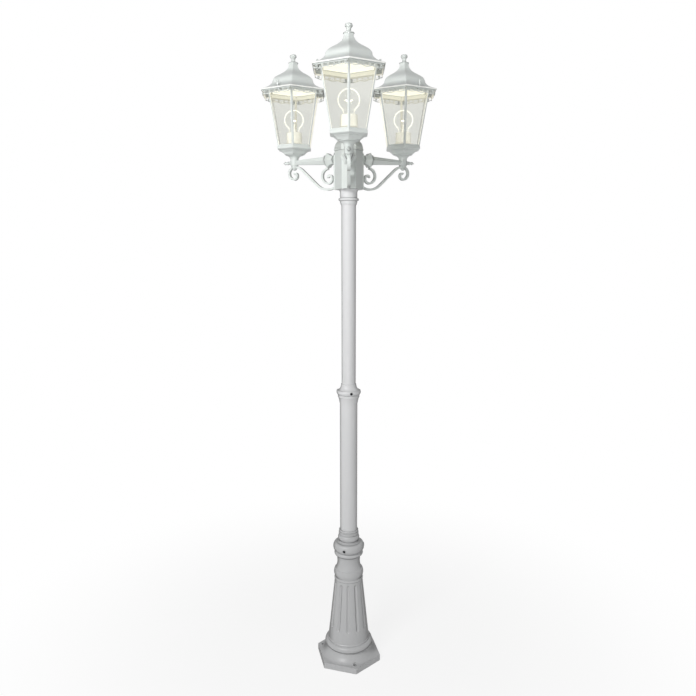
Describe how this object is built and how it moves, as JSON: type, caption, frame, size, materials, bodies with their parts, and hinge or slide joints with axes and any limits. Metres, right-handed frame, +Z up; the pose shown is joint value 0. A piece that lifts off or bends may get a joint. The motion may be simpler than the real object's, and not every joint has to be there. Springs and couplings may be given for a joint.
{
  "type": "lamp post",
  "caption": "White garden lamp post with a fluted base, a stepped round pole and arms that each carry a hexagonal glazed lantern on scrollwork.",
  "frame": {"origin": "on the pole's axis, in the plane the foot stands on; centre of the circle of anchor holes", "axes": "+Z up along the pole; one arm points to -Y, the others to +X+Y and -X+Y"},
  "size_m": [0.5734, 0.556, 2.1],
  "materials": {
    "painted_casting": "satin white powder coat on a casting",
    "painted_tube": "satin white powder coat on drawn tube",
    "painted_scroll": "satin white powder coat on flat bar",
    "painted_screw": "satin white paint",
    "screw_steel": "blackened steel",
    "clear_pane": "clear flat glass",
    "holder_plastic": "white lampholder plastic",
    "bulb_glass": "clear blown glass",
    "bulb_cap": "pressed screw cap",
    "filament": "glass mount with a lit filament"
  },
  "bodies": {
    "base": {"base_casting": "painted_casting", "base_set_screws": "screw_steel"},
    "lower_mast": {"lower_pole": "painted_tube", "mid_collar": "painted_casting", "collar_set_screws": "screw_steel"},
    "upper_mast": {"upper_pole": "painted_tube", "hub_sleeve": "painted_casting", "hub_body": "painted_casting", "hub_cap": "painted_casting", "arm_bolts": "screw_steel", "front_arm": "painted_casting", "front_arm_tip": "painted_casting", "front_c_scroll": "painted_scroll", "front_s_scroll": "painted_scroll", "front_stem_fixings": "painted_screw", "front_lantern_neck": "painted_casting", "front_tray": "painted_casting", "front_cage": "painted_casting", "front_panes": "clear_pane", "front_lampholder": "holder_plastic", "right_arm": "painted_casting", "right_arm_tip": "painted_casting", "right_c_scroll": "painted_scroll", "right_s_scroll": "painted_scroll", "right_stem_fixings": "painted_screw", "right_lantern_neck": "painted_casting", "right_tray": "painted_casting", "right_cage": "painted_casting", "right_panes": "clear_pane", "right_lampholder": "holder_plastic", "left_arm": "painted_casting", "left_arm_tip": "painted_casting", "left_c_scroll": "painted_scroll", "left_s_scroll": "painted_scroll", "left_stem_fixings": "painted_screw", "left_lantern_neck": "painted_casting", "left_tray": "painted_casting", "left_cage": "painted_casting", "left_panes": "clear_pane", "left_lampholder": "holder_plastic"},
    "front_roof": {"front_roof": "painted_casting", "front_roof_screws": "painted_screw", "front_finial": "painted_casting"},
    "front_bulb": {"front_bulb_glass": "bulb_glass", "front_bulb_cap": "bulb_cap", "front_filament": "filament"},
    "right_roof": {"right_roof": "painted_casting", "right_roof_screws": "painted_screw", "right_finial": "painted_casting"},
    "right_bulb": {"right_bulb_glass": "bulb_glass", "right_bulb_cap": "bulb_cap", "right_filament": "filament"},
    "left_roof": {"left_roof": "painted_casting", "left_roof_screws": "painted_screw", "left_finial": "painted_casting"},
    "left_bulb": {"left_bulb_glass": "bulb_glass", "left_bulb_cap": "bulb_cap", "left_filament": "filament"}
  },
  "joints": [
    {"name": "lower_mast_turn", "type": "hinge", "parent": "base", "child": "lower_mast", "pos_m": [0, 0, 0.4], "axis": [0, 0, 1], "range_deg": [-180, 180]},
    {"name": "upper_mast_turn", "type": "hinge", "parent": "lower_mast", "child": "upper_mast", "pos_m": [0, 0, 0.99], "axis": [0, 0, 1], "range_deg": [-180, 180]},
    {"name": "front_roof_lift", "type": "slide", "parent": "upper_mast", "child": "front_roof", "axis": [0, 0, 1], "range_m": [0, 0.12]},
    {"name": "front_bulb_turn", "type": "hinge", "parent": "upper_mast", "child": "front_bulb", "pos_m": [0, -0.212, 1.84], "axis": [0, 0, 1], "range_deg": [0, 1800]},
    {"name": "right_roof_lift", "type": "slide", "parent": "upper_mast", "child": "right_roof", "axis": [0, 0, 1], "range_m": [0, 0.12]},
    {"name": "right_bulb_turn", "type": "hinge", "parent": "upper_mast", "child": "right_bulb", "pos_m": [0.1836, 0.106, 1.84], "axis": [0, 0, 1], "range_deg": [0, 1800]},
    {"name": "left_roof_lift", "type": "slide", "parent": "upper_mast", "child": "left_roof", "axis": [0, 0, 1], "range_m": [0, 0.12]},
    {"name": "left_bulb_turn", "type": "hinge", "parent": "upper_mast", "child": "left_bulb", "pos_m": [-0.1836, 0.106, 1.84], "axis": [0, 0, 1], "range_deg": [0, 1800]}
  ]
}
